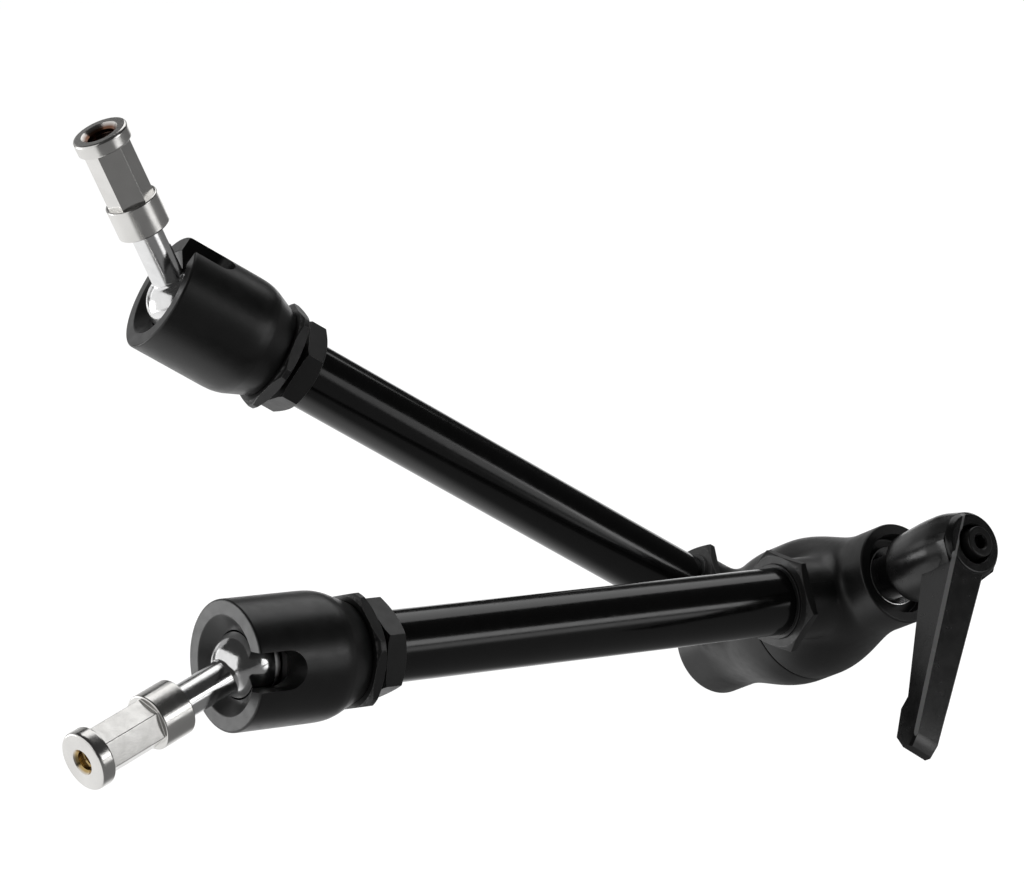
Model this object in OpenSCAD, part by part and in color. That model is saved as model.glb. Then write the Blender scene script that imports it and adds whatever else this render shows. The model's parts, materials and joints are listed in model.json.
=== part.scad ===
// Articulating friction arm: two tubes joined by an elbow, with a ball stud at each end.
// One ratchet lever pulls two cones together on the elbow's bolt. The cones squeeze the
// knuckles and push a rod down each tube, which clamps the ball at its end.
// The origin is the middle of the lower stud's round head, and the stud points along -X.

/* [Ball studs] */
// Diameter of the ball
ball_d = 18.7; // [17:0.1:19]
// Diameter of the round neck behind the ball
neck_d = 9.4; // [8:0.1:9.6]
// Distance from the ball's centre to the hexagonal stud
stud_start = 25; // [23:0.5:32]
// Diameter of the stud's round collar
collar_d = 15.3; // [14:0.1:18]
// Length of the collar
collar_len = 9.6; // [8:0.1:14]
// Width of the hexagon across its flats
stud_hex_af = 11.7; // [11:0.1:13]
// Length of the hexagon
stud_hex_len = 17.7; // [16:0.1:26]
// Diameter of the stud's round head, the standard 5/8 inch spigot
head_d = 16; // [15.8:0.1:16.2]
// Length of the head
head_len = 4.2; // [3.6:0.1:6]
// Rounding of the head's edges
head_edge = 0.5; // [0.2:0.1:1]
// Tapped hole in the lower stud, 1/4 inch thread
lower_tap_d = 5.2; // [5:0.1:5.4]
// Tapped hole in the upper stud, 3/8 inch thread
upper_tap_d = 8; // [7.8:0.1:8.2]
// Depth of the tapped holes
tap_depth = 12; // [8:0.5:13]
// Diameter of the pin that carries the stud on the ball's neck
shank_d = 8; // [7:0.1:8.4]
// Length of that pin
shank_len = 11; // [8:0.5:13]

/* [Ball cups] */
// Outer diameter of a cup
cup_d = 34.9; // [33:0.1:38]
// Length of the cup, face to lock nut
cup_len = 37.2; // [36:0.1:42]
// Length of the tapered shoulder at the cup's back
shoulder_len = 12; // [6:0.5:14]
// Diameter of the cup at its back
cup_back_d = 27; // [25:0.1:31]
// How far the cup's face stands in front of the ball's centre
ball_depth = 6.5; // [6:0.1:7]
// Radius of the lip that holds the ball in
lip_r = 8.7; // [8.5:0.05:8.8]
// Radius of the dished opening at the face
mouth_r = 13.2; // [12.5:0.1:14]
// Width of the side slot that lets a stud lie at a right angle
slot_w = 10.3; // [10:0.1:11]
// How far the slot's end lies behind the ball's centre
slot_back = 7.3; // [6.5:0.1:7.6]
// Length of the seat that presses on the ball
seat_len = 6.5; // [6:0.1:7]

/* [Tubes] */
// Distance from the elbow's axis to the ball's centre
ball_reach = 213; // [180:1:260]
// Outer diameter of the tubes
tube_d = 19.6; // [19:0.1:20.4]
// Wall of the tubes
tube_wall = 1.8; // [1.2:0.1:2.4]
// Width of the nose's hexagon across its flats
nose_hex_af = 24.5; // [23:0.1:26]
// Length of the nose's hexagon
nose_hex_len = 6.4; // [5:0.1:8]
// Diameter of the nose's thread, which carries the cup
thread_d = 16; // [15:0.1:16.5]
// Width of the lock nut across its flats
nut_af = 30; // [28:0.1:31]
// Diameter to which the nut's corners are turned
nut_corner_d = 33; // [31:0.1:34]
// Thickness of the lock nut
nut_len = 3.1; // [2.5:0.1:4]
// Gap with bare thread between the nut and the nose
thread_gap = 2.3; // [1:0.1:4]
// Diameter of the push rods
rod_d = 6; // [5:0.1:7]

/* [Elbow] */
// Distance between the two arms' planes, along the elbow's axis
arm_offset = 44.4; // [43:0.1:48]
// Diameter of a knuckle where the two meet
knuckle_d = 42; // [40:0.5:46]
// Diameter of a knuckle's neck
neck_end_d = 29.8; // [29:0.1:34]
// Length of a knuckle, from the meeting face to the neck's end
knuckle_len = 44.5; // [43:0.5:50]
// Width of the tube boss across its flats
boss_af = 26.6; // [25:0.1:28]
// Thickness of the boss's hexagon
boss_hex_len = 2.8; // [2:0.1:5]
// Diameter of the round boss behind that hexagon
boss_d = 24; // [23.5:0.1:26]
// Distance from the elbow's axis to the boss's face
boss_reach = 29.8; // [28:0.1:34]
// Diameter of the bore for the cones
cone_bore_d = 20.1; // [19.5:0.1:21]
// Diameter of the pivot bolt
bolt_d = 10; // [8:0.1:10]
// Depth of the recess round the thrust washer
recess_depth = 5; // [4:0.1:6]
// Diameter of that recess
recess_d = 23.5; // [22:0.1:24]
// Outer diameter of the friction ring
ring_d = 34; // [30:0.5:36]
// Thickness of the friction ring
ring_len = 1.9; // [1.5:0.1:2.5]

/* [Lever] */
// Distance from the lower arm's plane to the lever's hub
hub_start = 27; // [26.5:0.1:29]
// Length of the hub
hub_len = 27.8; // [27:0.1:32]
// Largest diameter of the hub
hub_d = 22.6; // [21.5:0.1:24]
// Reach of the lever from the elbow's axis to its tip
lever_reach = 67.6; // [55:0.1:90]
// Width of the lever beside the hub
lever_root_w = 12; // [9:0.1:13]
// Width of the lever at its tip
lever_tip_w = 8.8; // [6:0.1:10]
// Angle of the lever about the elbow's axis
lever_angle = -124.3; // [-180:0.1:180]
// Number of teeth in the ratchet spline
spline_teeth = 24; // [16:1:32]
// How far the lever lifts to free the ratchet
lift = 4.5; // [3:0.1:4.6]

/* [Pose] */
// Turn of the lower stud about itself
lower_spin = 14.8; // [-180:0.1:180]
// Tilt of the lower stud in its cup
lower_tilt = 20.5; // [0:0.1:34]
// Direction of that tilt about the lower arm
lower_swivel = 86.9; // [-180:0.1:180]
// Bend of the elbow
elbow_bend = -31.8; // [-180:0.1:180]
// Tilt of the upper stud in its cup
upper_tilt = 33.4; // [0:0.1:90]
// Direction of the upper stud's tilt and of its slot, from the elbow's axis
upper_swivel = 42; // [-180:0.1:180]
// Direction of the lower cup's slot, from the elbow's axis
lower_slot = -20.5; // [-180:0.1:180]
// Turn of the lower lock nut
lower_nut_turn = -9; // [-30:0.1:30]
// Turn of the upper lock nut
upper_nut_turn = 19; // [-30:0.1:30]
// Turn of the hexagon on the lower tube's nose
lower_nose_turn = 2; // [-30:0.1:30]
// Turn of the hexagon on the upper tube's nose
upper_nose_turn = -10; // [-30:0.1:30]
// Turn of the hexagon on the front knuckle's boss
front_boss_turn = 30; // [0:0.1:60]
// Turn of the hexagon on the rear knuckle's boss
rear_boss_turn = 0; // [0:0.1:60]
// Turn of the hexagon on the lower stud
lower_hex_turn = -1.6; // [-30:0.1:30]
// Turn of the hexagon on the upper stud
upper_hex_turn = 3.3; // [-30:0.1:30]

/* [Hidden] */
$fn = 96;

// Radial clearance of a piece that turns or slides in another
run_fit = 0.05;
// Clearance between pieces that never bear on each other
free_gap = 0.3;
// A little more than nothing, so that cuts pass through faces
over = 1;

// Stud, measured from the ball's centre
ball_r = ball_d / 2;
hex_start = stud_start + collar_len;
head_start = hex_start + stud_hex_len;
stud_tip = head_start + head_len;
head_mid = head_start + head_len / 2;
socket_r = ball_r + free_gap;
neck_fillet = 1.6;

// Cup, measured from the elbow's axis
cup_face = ball_reach + ball_depth;
cup_back = cup_face - cup_len;
lip_pos = ball_reach + sqrt(socket_r * socket_r - lip_r * lip_r);
seat_bore_r = socket_r;
seat_r = seat_bore_r - run_fit;
seat_front = ball_reach - neck_d / 2 - neck_fillet;
seat_back = seat_front - seat_len;
seat_room = 3;
seat_bore_back = seat_back - seat_room;

// Tube and nose
nut_back = cup_back - nut_len;
nose_front = nut_back - thread_gap;
nose_back = nose_front - nose_hex_len;
tube_bore_r = tube_d / 2 - tube_wall;
nose_plug_len = 18;
thread_room = 0.2;
thread_end = seat_bore_back - thread_room;
tube_start = 20;
guide_pos = 60;
guide_len = 10;
rod_r = rod_d / 2;
rod_bore_r = rod_r + run_fit;

// Elbow, measured along its axis from the lower arm's plane
half_offset = arm_offset / 2;
face_gap = free_gap / 2;
ring_recess = ring_len / 2 - face_gap;
ring_bore_d = 24;
neck_end = knuckle_len - half_offset;
recess_floor = neck_end - recess_depth;
web_len = 5;
disc_len = 4;
blend_end = 33.8;
front_edge = 0.6;
rear_edge = 1.2;
web_start = recess_floor - web_len;
wedge_boss_r = 7;
wedge_r = cone_bore_d / 2 - run_fit;
wedge_travel = 0.375;
wedge_room = 0.1;
wedge_back = web_start - wedge_travel - wedge_room;
boss_stand = 0.5;
wedge_face = recess_floor + boss_stand;
cone_mid_r = 7.5;
cone_low = -1.5;
cone_high = wedge_r - cone_mid_r;
cone_play = 0.15;
rod_tip = cone_mid_r + (rod_r + cone_play) * sqrt(2);
bolt_r = bolt_d / 2;
bolt_head_af = 14;
bolt_head_len = 4;
rear_floor = web_start + 2;
rear_wedge_face = rear_floor + boss_stand;
bolt_head_z = -arm_offset - rear_wedge_face;
plug_r = 10;
plug_len = 2.2;
rear_pocket_end = neck_end - plug_len;
washer_r = 9;
washer_len = 1.6;

// Lever, measured the same way
insert_start = wedge_face + washer_len + run_fit;
insert_r = 6.5;
spline_start = hub_start + 6;
lift_spare = 0.5;
spline_len = lift - lift_spare;
spline_end = spline_start + spline_len;
spline_tip_r = 8;
spline_root_r = 7.2;
spline_fit = 0.1;
bolt_end = spline_start - 2.5;
shoulder_low = spline_end + 0.6;
shoulder_high = shoulder_low + 4;
hub_end = hub_start + hub_len;
hub_bore_r = 5.7;
screw_r = 2.5;
screw_start = bolt_end + 1.3;
screw_head_r = 4.5;
screw_head_len = 5.4;
screw_head_top = hub_end + 2.4;
screw_head_z = screw_head_top - screw_head_len;
screw_key_af = 4;
screw_key_depth = 3;
lever_top = hub_end - 0.4;
lever_bevel = 1.5;

// Rounded step from one radius to another between two heights, as outline points
function blend(r_low, r_high, z_low, z_high, steps = 12) =
    [for (i = [0:steps])
        [r_high + (r_low - r_high) * (1 + cos(180 * i / steps)) / 2,
         z_low + (z_high - z_low) * i / steps]];

// Taper from the back of the cup that levels out at its full radius
function shoulder(r_low, r_high, z_low, z_high, steps = 8) =
    [for (i = [0:steps])
        [r_low + (r_high - r_low) * sin(90 * i / steps),
         z_low + (z_high - z_low) * i / steps]];

// Turns a drawing so that its z axis runs out along an arm and its x axis at the lever
module along_arm() {
    rotate([0, -90, 0]) children();
}

// Places the lower arm: its origin is on the elbow's axis and its z axis is that axis
module lower_arm() {
    translate([head_mid, 0, 0])
        rotate([0, -90, 0])
            rotate([0, 0, lower_spin])
                rotate([0, lower_tilt, 0])
                    rotate([0, 0, -lower_swivel])
                        translate([0, 0, -ball_reach])
                            rotate([0, 90, 0]) children();
}

// Places the upper arm behind the lower one, turned about the same axis
module upper_arm() {
    lower_arm()
        translate([0, 0, -arm_offset])
            rotate([0, 0, elbow_bend]) children();
}

// Places a stud with its z axis outwards and the ball's centre at its origin
module lower_stud() {
    translate([head_mid, 0, 0]) rotate([0, -90, 0]) children();
}

module upper_stud() {
    upper_arm() along_arm()
        translate([0, 0, ball_reach])
            rotate([0, 0, upper_swivel])
                rotate([0, upper_tilt, 0]) children();
}

// Hexagonal bar from z1 to z2, measured across its flats
module hex_bar(af, z1, z2) {
    translate([0, 0, z1])
        cylinder(r = af / sqrt(3), h = z2 - z1, $fn = 6);
}

// Round bar or hole from z1 to z2
module bar(r, z1, z2) {
    translate([0, 0, z1]) cylinder(r = r, h = z2 - z1);
}

// Hexagonal stud with a round collar and head and a tapped hole in its tip
module spigot(tap_d, turn) {
    edge = 0.4;
    difference() {
        union() {
            rotate_extrude() polygon([
                [0, stud_start], [collar_d / 2 - edge, stud_start],
                [collar_d / 2, stud_start + edge],
                [collar_d / 2, hex_start - edge],
                [collar_d / 2 - edge, hex_start], [0, hex_start]]);
            rotate([0, 0, turn])
                hex_bar(stud_hex_af, hex_start - over, head_start + over);
            rotate_extrude() polygon([
                [0, head_start], [head_d / 2 - head_edge, head_start],
                [head_d / 2, head_start + head_edge],
                [head_d / 2, stud_tip - head_edge],
                [head_d / 2 - head_edge, stud_tip], [0, stud_tip]]);
        }
        bar(shank_d / 2 + run_fit, stud_start - over, stud_start + shank_len + free_gap);
        bar(tap_d / 2, stud_tip - tap_depth, stud_tip + over);
        translate([0, 0, stud_tip - 0.6])
            cylinder(r1 = tap_d / 2, r2 = tap_d / 2 + 0.9, h = 0.9);
    }
}

// Ball, neck and the pin that carries the stud
module ball_stud() {
    fillet_r = neck_d / 2 + neck_fillet;
    fillet_z = sqrt(pow(ball_r + neck_fillet, 2) - fillet_r * fillet_r);
    fillet_end = 180 + atan(fillet_z / fillet_r);
    sphere(d = ball_d);
    bar(neck_d / 2, 0, stud_start);
    bar(shank_d / 2, stud_start - over, stud_start + shank_len);
    rotate_extrude() polygon(concat([[0, ball_r / 2]],
        [for (i = [0:6])
            let (a = fillet_end + (180 - fillet_end) * i / 6)
            [fillet_r + neck_fillet * cos(a), fillet_z + neck_fillet * sin(a)]],
        [[0, fillet_z]]));
}

// Seat with a hollow face that presses on the ball
module ball_seat() {
    difference() {
        bar(seat_r, seat_back, seat_front);
        translate([0, 0, ball_reach]) sphere(r = socket_r);
    }
}

// Cup that holds the ball, with a dished mouth and a side slot
module cup(slot_turn) {
    cup_r = cup_d / 2;
    edge = 0.7;
    slot_mid = ball_reach - slot_back + slot_w / 2;
    difference() {
        rotate_extrude() polygon(concat([[0, cup_back]],
            shoulder(cup_back_d / 2, cup_r, cup_back, cup_back + shoulder_len),
            [[cup_r, cup_face - edge], [cup_r - edge, cup_face], [0, cup_face]]));
        bar(thread_d / 2 + run_fit, cup_back - over, cup_face);
        bar(seat_bore_r, seat_bore_back, ball_reach);
        translate([0, 0, ball_reach]) sphere(r = socket_r);
        translate([0, 0, lip_pos])
            cylinder(r1 = lip_r, r2 = mouth_r, h = cup_face - lip_pos);
        bar(mouth_r, cup_face, cup_face + over);
        rotate([0, 0, slot_turn]) {
            translate([0, 0, slot_mid])
                rotate([0, 90, 0]) cylinder(d = slot_w, h = cup_d);
            translate([0, -slot_w / 2, slot_mid])
                cube([cup_d, slot_w, cup_len]);
        }
    }
}

// Thin lock nut with its corners turned down
module lock_nut(turn) {
    difference() {
        intersection() {
            rotate([0, 0, turn]) hex_bar(nut_af, nut_back, cup_back);
            bar(nut_corner_d / 2, nut_back, cup_back);
        }
        bar(thread_d / 2 + run_fit, nut_back - over, cup_back + over);
    }
}

// Nose that plugs the tube, with a hexagon to hold it by and the cup's thread
module tube_nose(turn) {
    difference() {
        union() {
            bar(tube_bore_r - run_fit, nose_back - nose_plug_len, nose_back + over);
            intersection() {
                rotate([0, 0, turn]) hex_bar(nose_hex_af, nose_back, nose_front);
                translate([0, 0, nose_back])
                    cylinder(r1 = nose_hex_af / 2 - 0.4, r2 = nose_hex_af / 2 - 0.4 + 2 * nose_hex_len,
                             h = nose_hex_len);
            }
            bar(thread_d / 2, nose_front - over, thread_end);
        }
        bar(rod_bore_r, nose_back - nose_plug_len - over, thread_end + over);
    }
}

module arm_tube() {
    difference() {
        bar(tube_d / 2, tube_start, nose_back);
        bar(tube_bore_r, tube_start - over, nose_back + over);
    }
}

// Bush that keeps the push rod in the middle of the tube
module rod_guide() {
    difference() {
        bar(tube_bore_r - run_fit, guide_pos, guide_pos + guide_len);
        bar(rod_bore_r, guide_pos - over, guide_pos + guide_len + over);
    }
}

// Rod with a round end on the cone and a flat end on the seat
module push_rod() {
    bar(rod_r, rod_tip, seat_back);
    translate([0, 0, rod_tip]) sphere(r = rod_r);
}

// Body of a knuckle, from the meeting face at zero towards the neck
module knuckle_body(edge, boss_turn) {
    rim = 0.8;
    rim_wall = 1.2;
    union() {
        rotate_extrude() polygon(concat(
            [[0, face_gap], [knuckle_d / 2, face_gap]],
            blend(knuckle_d / 2, neck_end_d / 2, disc_len, blend_end, 20),
            [for (a = [0:15:90])
                [neck_end_d / 2 - edge + edge * cos(a),
                 knuckle_len - edge + edge * sin(a)]],
            [[0, knuckle_len]]));
        translate([0, 0, half_offset]) along_arm() {
            bar(boss_d / 2, 0, boss_reach - boss_hex_len / 2);
            rotate([0, 0, boss_turn])
                hex_bar(boss_af, boss_reach - boss_hex_len, boss_reach);
            bar(tube_d / 2 + rim_wall, boss_reach - over, boss_reach + rim);
        }
    }
}

// Bores that both knuckles share
module knuckle_bores() {
    translate([0, 0, half_offset]) along_arm() {
        bar(tube_d / 2 + run_fit, tube_start, boss_reach + 2 * over);
        bar(rod_bore_r, 0, tube_start + over);
    }
    bar(cone_bore_d / 2, -over, web_start + half_offset);
    bar(wedge_boss_r + run_fit, 0, knuckle_len);
    difference() {
        bar(ring_d / 2 + free_gap, -over, face_gap + ring_recess);
        bar(ring_bore_d / 2 - free_gap, -2 * over, face_gap + ring_recess + over);
    }
}

// Cone that pushes a rod out as its boss is pressed towards the elbow's middle
module wedge(boss_end) {
    difference() {
        union() {
            translate([0, 0, cone_low])
                cylinder(r1 = cone_mid_r + cone_low, r2 = wedge_r, h = cone_high - cone_low);
            bar(wedge_r, cone_high, wedge_back);
            bar(wedge_boss_r, wedge_back - over, boss_end);
        }
        bar(bolt_r + run_fit, cone_low - over, boss_end + over);
    }
}

// Coil spring about the z axis
module coil(mean_r, wire_r, z1, z2, turns, steps = 14, sides = 6) {
    count = turns * steps;
    rise = z2 - z1 - 2 * wire_r;
    points = [for (i = [0:count]) for (j = [0:sides - 1])
        let (a = 360 * i / steps, b = 360 * j / sides,
             r = mean_r + wire_r * cos(b),
             z = z1 + wire_r + rise * i / count + wire_r * sin(b))
        [r * cos(a), r * sin(a), z]];
    walls = [for (i = [0:count - 1]) for (j = [0:sides - 1])
        let (k = (j + 1) % sides)
        [i * sides + j, (i + 1) * sides + j, (i + 1) * sides + k, i * sides + k]];
    start = [for (j = [0:sides - 1]) j];
    end = [for (j = [sides - 1:-1:0]) count * sides + j];
    polyhedron(points = points, faces = concat([start], walls, [end]));
}

// Outline of the ratchet's teeth
module spline_outline(extra = 0) {
    polygon([for (i = [0:2 * spline_teeth - 1])
        let (a = 180 * i / spline_teeth,
             r = (i % 2 == 0 ? spline_tip_r : spline_root_r) + extra)
        [r * cos(a), r * sin(a)]]);
}

// Thin slice of the lever's arm at a reach, with its outer edges bevelled
module lever_slice(reach, width, low, high, bevel) {
    translate([reach, 0, 0])
        rotate([90, 0, 90])
            linear_extrude(0.2)
                polygon([
                    [-width / 2 + bevel / 2, low], [width / 2 - bevel / 2, low],
                    [width / 2, low + bevel / 2], [width / 2, high - bevel],
                    [width / 2 - bevel, high], [bevel - width / 2, high],
                    [-width / 2, high - bevel], [-width / 2, low + bevel / 2]]);
}

// Arm of the lever: it thins towards its tip, which is hooked for a finger
module lever_arm() {
    hook = lever_reach - 16.6;
    root_low = hub_end - 14.4;
    waist_low = hub_end - 7.5;
    hook_low = hub_end - 9.5;
    end_low = hub_end - 8.7;
    tip_low = hub_end - 5;
    slices = [[4, lever_root_w, root_low, lever_top],
              [hook, lever_tip_w + 0.8, waist_low, lever_top],
              [hook + 3.4, lever_tip_w + 0.5, hook_low, lever_top],
              [hook + 12.6, lever_tip_w, end_low, lever_top],
              [lever_reach - 0.2, lever_tip_w - 0.8, tip_low, lever_top - 1.8]];
    for (i = [0:3])
        hull() {
            lever_slice(slices[i][0], slices[i][1], slices[i][2], slices[i][3], lever_bevel);
            lever_slice(slices[i + 1][0], slices[i + 1][1],
                        slices[i + 1][2], slices[i + 1][3], lever_bevel);
        }
}

// Wedge-shaped root that carries the hub's width over into the arm
module lever_root() {
    root_low = hub_end - 14;
    root_high = lever_top - lever_bevel;
    root_reach = 8.6;
    shoulder_reach = 4.6;
    shoulder_w = 9.6;
    translate([0, 0, root_low])
        linear_extrude(root_high - root_low)
            polygon([[0, -shoulder_w], [shoulder_reach, -shoulder_w],
                     [root_reach, -lever_root_w / 2], [root_reach, lever_root_w / 2],
                     [shoulder_reach, shoulder_w], [0, shoulder_w]]);
}

module lower_spigot() {
    color("silver") lower_stud() spigot(lower_tap_d, lower_hex_turn);
}

module lower_ball_stud() {
    color("gainsboro") lower_stud() ball_stud();
}

module lower_ball_seat() {
    color("dimgray") lower_arm() along_arm() ball_seat();
}

module lower_cup() {
    color([0.09, 0.09, 0.1]) lower_arm() along_arm() cup(lower_slot);
}

module lower_lock_nut() {
    color([0.13, 0.13, 0.13]) lower_arm() along_arm() lock_nut(lower_nut_turn);
}

module lower_tube_nose() {
    color([0.11, 0.11, 0.11]) lower_arm() along_arm() tube_nose(lower_nose_turn);
}

module lower_tube() {
    color([0.04, 0.04, 0.04]) lower_arm() along_arm() arm_tube();
}

module lower_rod_guide() {
    color("ivory") lower_arm() along_arm() rod_guide();
}

module lower_push_rod() {
    color("darkgray") lower_arm() along_arm() push_rod();
}

module front_knuckle() {
    color([0.1, 0.1, 0.1]) lower_arm() translate([0, 0, -half_offset])
        difference() {
            knuckle_body(front_edge, front_boss_turn);
            knuckle_bores();
            bar(recess_d / 2, knuckle_len - recess_depth, knuckle_len + over);
        }
}

module rear_knuckle() {
    color([0.1, 0.1, 0.1]) upper_arm() translate([0, 0, half_offset])
        mirror([0, 0, 1])
            difference() {
                knuckle_body(rear_edge, rear_boss_turn);
                knuckle_bores();
                hex_bar(bolt_head_af + 4 * run_fit, half_offset + rear_floor,
                        half_offset + rear_pocket_end + over);
                bar(plug_r + run_fit, half_offset + rear_pocket_end, knuckle_len + over);
            }
}

module friction_ring() {
    color("saddlebrown") lower_arm() translate([0, 0, -half_offset])
        difference() {
            bar(ring_d / 2, -ring_len / 2, ring_len / 2);
            bar(ring_bore_d / 2, -ring_len, ring_len);
        }
}

module front_wedge() {
    color("darkgray") lower_arm() wedge(wedge_face);
}

module rear_wedge() {
    color("darkgray") upper_arm() mirror([0, 0, 1]) wedge(rear_wedge_face);
}

module wedge_spring() {
    color("lightgray") lower_arm()
        coil(8.4, 0.8, cone_low - arm_offset - 2 * cone_low + free_gap,
             cone_low - free_gap, 8);
}

module pivot_bolt() {
    color("darkgray") upper_arm() translate([0, 0, arm_offset]) {
        bar(bolt_r, bolt_head_z - over, bolt_end);
        hex_bar(bolt_head_af, bolt_head_z - bolt_head_len, bolt_head_z);
    }
}

module rear_plug() {
    color([0.08, 0.08, 0.08]) upper_arm()
        bar(plug_r, -neck_end, plug_len - neck_end);
}

module thrust_washer() {
    color("gainsboro") lower_arm() difference() {
        bar(washer_r, wedge_face, wedge_face + washer_len);
        bar(bolt_r + run_fit, wedge_face - over, wedge_face + washer_len + over);
    }
}

module lever_insert() {
    color("dimgray") lower_arm() difference() {
        union() {
            bar(insert_r, insert_start, spline_end);
            rotate([0, 0, lever_angle])
                translate([0, 0, spline_start])
                    linear_extrude(spline_len) spline_outline();
        }
        bar(bolt_r + run_fit, insert_start - over, bolt_end + free_gap);
        bar(screw_r + run_fit, bolt_end, spline_end + over);
    }
}

module lever_handle() {
    foot_r = hub_d / 2 - 1.1;
    face_r = hub_d / 2 - 2.7;
    rim_r = hub_d / 2 - 1.66;
    color([0.1, 0.1, 0.1]) lower_arm() rotate([0, 0, lever_angle]) difference() {
        union() {
            rotate_extrude() polygon([
                [0, hub_start], [foot_r - 0.5, hub_start], [foot_r, hub_start + 0.5],
                [hub_d / 2, hub_end - 15], [hub_d / 2, hub_end - 9],
                [hub_d / 2 - 0.6, hub_end - 6], [hub_d / 2 - 1.2, hub_end - 3.4],
                [rim_r, hub_end - 1.4], [face_r, hub_end], [0, hub_end]]);
            lever_root();
            lever_arm();
        }
        bar(spline_tip_r + free_gap, hub_start - over, spline_start);
        translate([0, 0, spline_start - 0.1])
            linear_extrude(shoulder_low - spline_start + 0.1) spline_outline(spline_fit);
        bar(screw_r + free_gap, shoulder_low - over, shoulder_high + over);
        bar(hub_bore_r, shoulder_high, hub_end + over);
    }
}

module lever_screw() {
    color([0.15, 0.15, 0.15]) lower_arm() difference() {
        union() {
            bar(screw_r, screw_start, screw_head_z + over);
            bar(screw_head_r, screw_head_z, screw_head_top);
        }
        hex_bar(screw_key_af, screw_head_top - screw_key_depth, screw_head_top + over);
    }
}

module lever_spring() {
    color("lightgray") lower_arm()
        coil(3.6, 0.5, shoulder_high, screw_head_z, 5);
}

module upper_spigot() {
    color("silver") upper_stud() spigot(upper_tap_d, upper_hex_turn);
}

module upper_ball_stud() {
    color("gainsboro") upper_stud() ball_stud();
}

module upper_ball_seat() {
    color("dimgray") upper_arm() along_arm() ball_seat();
}

module upper_cup() {
    color([0.09, 0.09, 0.1]) upper_arm() along_arm() cup(upper_swivel);
}

module upper_lock_nut() {
    color([0.13, 0.13, 0.13]) upper_arm() along_arm() lock_nut(upper_nut_turn);
}

module upper_tube_nose() {
    color([0.11, 0.11, 0.11]) upper_arm() along_arm() tube_nose(upper_nose_turn);
}

module upper_tube() {
    color([0.04, 0.04, 0.04]) upper_arm() along_arm() arm_tube();
}

module upper_rod_guide() {
    color("ivory") upper_arm() along_arm() rod_guide();
}

module upper_push_rod() {
    color("darkgray") upper_arm() along_arm() push_rod();
}

lower_spigot();
lower_ball_stud();
lower_ball_seat();
lower_cup();
lower_lock_nut();
lower_tube_nose();
lower_tube();
lower_rod_guide();
lower_push_rod();
front_knuckle();
friction_ring();
rear_knuckle();
front_wedge();
rear_wedge();
wedge_spring();
pivot_bolt();
thrust_washer();
rear_plug();
lever_insert();
lever_handle();
lever_screw();
lever_spring();
upper_spigot();
upper_ball_stud();
upper_ball_seat();
upper_cup();
upper_lock_nut();
upper_tube_nose();
upper_tube();
upper_rod_guide();
upper_push_rod();
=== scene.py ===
# %% [markdown]
# # An articulating friction arm
# Two black tubes meet at an elbow with a ratchet lever, and a chrome ball stud sits in a cup at each end.
# The solids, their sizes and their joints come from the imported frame. Here each visible piece is modelled
# again with the bevels, dishes and blends that catch the light, and gets its finish.

# %% Load the frame
import json
import math

import bpy
from mathutils import Matrix, Vector


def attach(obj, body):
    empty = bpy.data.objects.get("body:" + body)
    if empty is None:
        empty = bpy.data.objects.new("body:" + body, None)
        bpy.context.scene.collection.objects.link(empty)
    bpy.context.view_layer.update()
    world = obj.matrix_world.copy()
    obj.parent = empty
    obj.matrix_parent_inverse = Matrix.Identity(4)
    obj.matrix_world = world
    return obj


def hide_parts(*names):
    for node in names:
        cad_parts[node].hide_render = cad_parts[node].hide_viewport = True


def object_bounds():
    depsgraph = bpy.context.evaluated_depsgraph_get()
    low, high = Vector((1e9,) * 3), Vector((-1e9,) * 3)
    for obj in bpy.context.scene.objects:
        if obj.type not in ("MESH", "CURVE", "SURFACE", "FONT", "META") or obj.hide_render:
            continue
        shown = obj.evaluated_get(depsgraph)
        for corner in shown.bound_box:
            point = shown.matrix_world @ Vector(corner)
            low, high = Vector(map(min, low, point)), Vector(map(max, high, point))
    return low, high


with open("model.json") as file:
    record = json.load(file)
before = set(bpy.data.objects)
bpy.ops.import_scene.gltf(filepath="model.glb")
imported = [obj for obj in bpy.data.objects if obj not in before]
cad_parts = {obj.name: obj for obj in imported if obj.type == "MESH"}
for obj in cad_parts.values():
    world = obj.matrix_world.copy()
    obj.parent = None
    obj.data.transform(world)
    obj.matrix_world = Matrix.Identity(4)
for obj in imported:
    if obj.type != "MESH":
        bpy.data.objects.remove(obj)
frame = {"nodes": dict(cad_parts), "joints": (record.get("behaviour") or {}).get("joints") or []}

CAD_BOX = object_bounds()
MM = 0.001
IMAGE_WIDTH = 1024

# %% [markdown]
# ## The camera
# A product photograph like this is taken with a long lens from about a metre away, which keeps the two arms
# nearly the same size though one lies behind the other. The camera is a little rolled, so it first looks
# along its direction and is then turned about that direction.

# %% Camera
FOCAL_PIXELS = 3526.0
SENSOR_WIDTH = 36.0
CAMERA_PLACE = Vector((-441.9, -721.0, 277.1)) * MM
LOOK_DIRECTION = Vector((0.6192, 0.7383, -0.2675)).normalized()
CAMERA_ROLL = math.radians(-17.7)

camera_data = bpy.data.cameras.new("photo_camera")
camera_data.sensor_width = SENSOR_WIDTH
camera_data.lens = FOCAL_PIXELS * SENSOR_WIDTH / IMAGE_WIDTH
camera_data.clip_end = 50
camera = bpy.data.objects.new("photo_camera", camera_data)
bpy.context.scene.collection.objects.link(camera)
level = LOOK_DIRECTION.to_track_quat("-Z", "Y").to_matrix().to_4x4()
camera.matrix_world = (Matrix.Translation(CAMERA_PLACE) @ level
                       @ Matrix.Rotation(CAMERA_ROLL, 4, "Z"))
bpy.context.scene.camera = camera
print("lens:", round(camera_data.lens, 1), "mm")

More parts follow.
